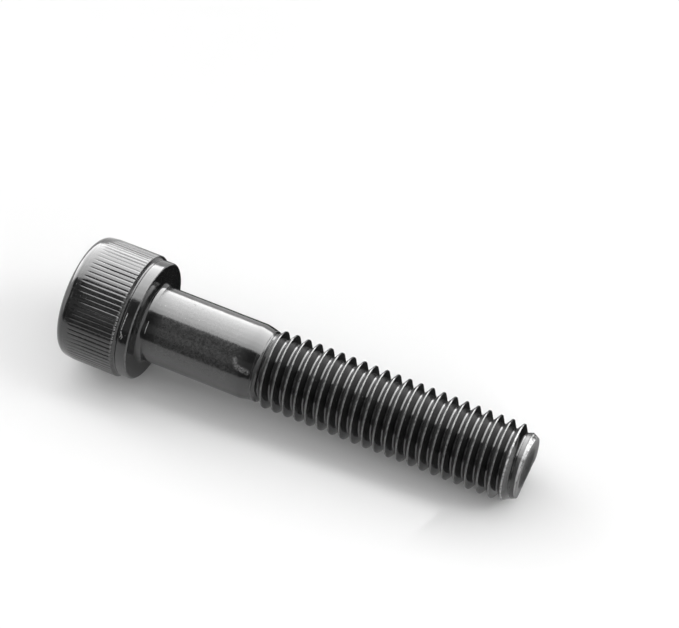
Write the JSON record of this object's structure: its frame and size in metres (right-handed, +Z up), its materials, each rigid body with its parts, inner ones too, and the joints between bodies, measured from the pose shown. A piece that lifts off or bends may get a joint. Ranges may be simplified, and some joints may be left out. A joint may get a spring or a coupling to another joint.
{
  "type": "hex socket cap screw",
  "caption": "Partly threaded metric socket head cap screw with a straight-knurled head, plain collar and hexagon socket, lying on its side.",
  "frame": {"origin": "centre of the flat bearing face under the head; the floor it lies on is about 7.8 mm below", "axes": "+X along the shank towards the tip (the axis dips 3.54 degrees below +X, because the screw rests on its head and on its last threads), +Z up"},
  "size_m": [0.0602, 0.016, 0.0163],
  "materials": {
    "black_steel": "black oxide on steel, lightly oiled, semi-gloss"
  },
  "bodies": {
    "root": {"screw": "black_steel"}
  },
  "joints": []
}
